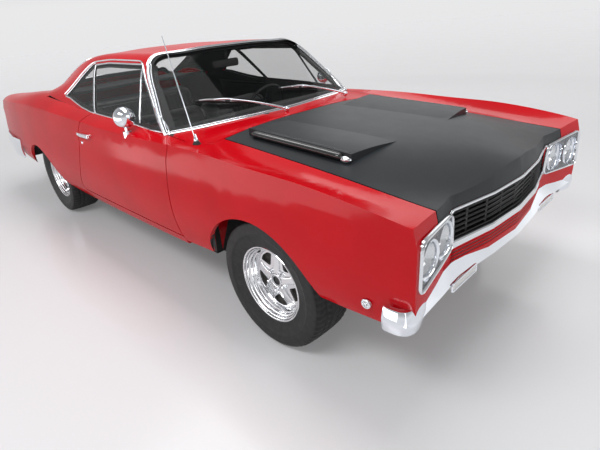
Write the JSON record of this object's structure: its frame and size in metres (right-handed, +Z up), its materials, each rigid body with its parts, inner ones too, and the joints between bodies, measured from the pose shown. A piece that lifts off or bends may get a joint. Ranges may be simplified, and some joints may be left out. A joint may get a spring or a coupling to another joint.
{
  "type": "hardtop coupe car",
  "caption": "Hardtop coupe, red with a black hood: its doors, hood and trunk lid open, its wheels roll and its front wheels steer with the steering wheel.",
  "frame": {"origin": "on the ground under the middle of the overall length and width", "axes": "+X forward, +Y to the car's left, +Z up"},
  "size_m": [5.149, 1.944, 1.4885],
  "materials": {
    "body_red": "gloss",
    "hood_black": "satin",
    "chrome": "polished",
    "under_black": "satin",
    "glass": "clear",
    "lamp_glass": "clear",
    "red_lens": "gloss",
    "amber_lens": "gloss",
    "grille_black": "matte",
    "vinyl_black": "satin",
    "dash_black": "matte",
    "engine_iron": "painted",
    "steel": "satin",
    "tyre": "matte",
    "rim": "polished",
    "mirror_face": "polished"
  },
  "bodies": {
    "body": {"chassis_frame": "under_black", "floor_pan": "under_black", "cowl": "body_red", "front_fenders": "body_red", "front_panel": "body_red", "quarter_panels": "body_red", "rear_panels": "body_red", "roof": "body_red", "fixed_windows": "glass", "grille": "grille_black", "headlamps": "lamp_glass", "front_bumper": "chrome", "rear_bumper": "chrome", "tail_lamps": "red_lens", "signal_lamps": "amber_lens", "dashboard": "dash_black", "front_seat": "vinyl_black", "rear_seat": "vinyl_black", "engine": "engine_iron", "exhaust": "steel", "rear_axle": "under_black", "front_suspension": "under_black", "fuel_tank": "steel", "radiator": "under_black", "inner_fenders": "under_black", "wipers": "steel", "antenna": "chrome", "cabin_mirror": "mirror_face"},
    "hood": {"hood": "hood_black"},
    "trunk_lid": {"trunk_lid": "body_red"},
    "door_left": {"door_left": "body_red", "door_glass_left": "glass", "mirror_left": "chrome"},
    "door_right": {"door_right": "body_red", "door_glass_right": "glass", "mirror_right": "chrome"},
    "knuckle_left": {"knuckle_left": "under_black"},
    "knuckle_right": {"knuckle_right": "under_black"},
    "wheel_front_left": {"tyre_front_left": "tyre", "rim_front_left": "rim"},
    "wheel_front_right": {"tyre_front_right": "tyre", "rim_front_right": "rim"},
    "wheel_rear_left": {"tyre_rear_left": "tyre", "rim_rear_left": "rim"},
    "wheel_rear_right": {"tyre_rear_right": "tyre", "rim_rear_right": "rim"},
    "steering_wheel": {"steering_wheel": "dash_black"}
  },
  "joints": [
    {"name": "hood_hinge", "type": "hinge", "parent": "body", "child": "hood", "pos_m": [1.184, 0, 0.985], "axis": [0, -1, 0], "range_deg": [0, 48]},
    {"name": "trunk_lid_hinge", "type": "hinge", "parent": "body", "child": "trunk_lid", "pos_m": [-1.61, 0, 1.076], "axis": [0, 1, 0], "range_deg": [0, 62]},
    {"name": "door_left_hinge", "type": "hinge", "parent": "body", "child": "door_left", "pos_m": [1.1418, 0.93, 0.65], "axis": [0, 0, -1], "range_deg": [0, 65]},
    {"name": "door_right_hinge", "type": "hinge", "parent": "body", "child": "door_right", "pos_m": [1.1418, -0.93, 0.65], "axis": [0, 0, 1], "range_deg": [0, 65]},
    {"name": "steer_left", "type": "hinge", "parent": "body", "child": "knuckle_left", "pos_m": [1.7545, 0.677, 0.34], "axis": [0, 0, 1], "range_deg": [-32, 32]},
    {"name": "steer_right", "type": "hinge", "parent": "body", "child": "knuckle_right", "pos_m": [1.7545, -0.677, 0.34], "axis": [0, 0, 1], "range_deg": [-32, 32]},
    {"name": "steering_wheel_turn", "type": "hinge", "parent": "body", "child": "steering_wheel", "pos_m": [0.45, 0.37, 0.86], "axis": [-0.9135, 0, 0.4067], "range_deg": [-512, 512]},
    {"name": "spin_front_left", "type": "hinge", "parent": "knuckle_left", "child": "wheel_front_left", "pos_m": [1.7545, 0.768, 0.34], "axis": [0, 1, 0], "continuous": true},
    {"name": "spin_front_right", "type": "hinge", "parent": "knuckle_right", "child": "wheel_front_right", "pos_m": [1.7545, -0.768, 0.34], "axis": [0, 1, 0], "continuous": true},
    {"name": "spin_rear_left", "type": "hinge", "parent": "body", "child": "wheel_rear_left", "pos_m": [-1.1915, 0.752, 0.34], "axis": [0, 1, 0], "continuous": true},
    {"name": "spin_rear_right", "type": "hinge", "parent": "body", "child": "wheel_rear_right", "pos_m": [-1.1915, -0.752, 0.34], "axis": [0, 1, 0], "continuous": true}
  ],
  "couplings": [
    {"joint": "steer_right", "follows": "steer_left", "ratio": 1},
    {"joint": "steering_wheel_turn", "follows": "steer_left", "ratio": 16}
  ]
}
